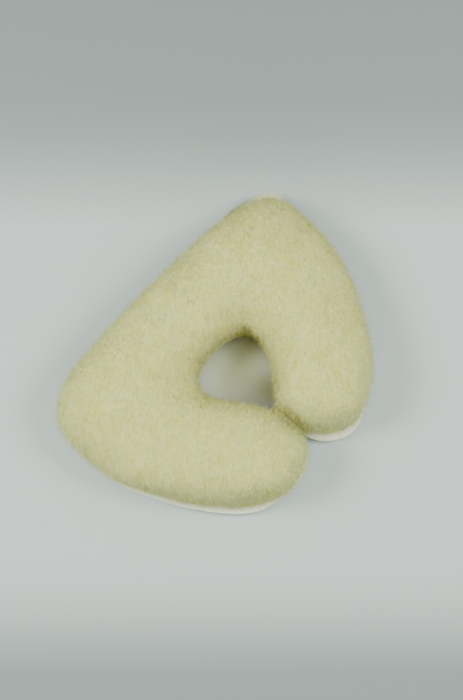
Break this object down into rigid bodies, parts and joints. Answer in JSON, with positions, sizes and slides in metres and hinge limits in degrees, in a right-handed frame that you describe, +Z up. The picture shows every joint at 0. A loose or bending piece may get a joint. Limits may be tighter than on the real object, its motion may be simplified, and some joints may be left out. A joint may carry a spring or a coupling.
{
  "type": "crescent pillow",
  "caption": "Crescent-shaped filled neck pillow with a deep-pile fleece face and a smooth woven underside, its arms closing in front of a neck hole.",
  "frame": {"origin": "middle of the underside of the pillow's bounding box, on the surface it rests on", "axes": "+Z up through the fleece face, +Y towards the straight back edge, +X to the right arm; the slit between the arms faces -Y"},
  "size_m": [0.3462, 0.2596, 0.088],
  "materials": {
    "fleece": "deep matte pile",
    "woven_base": "matte plain weave"
  },
  "bodies": {
    "root": {"fleece_pillow": "fleece", "base_panel": "woven_base"}
  },
  "joints": []
}
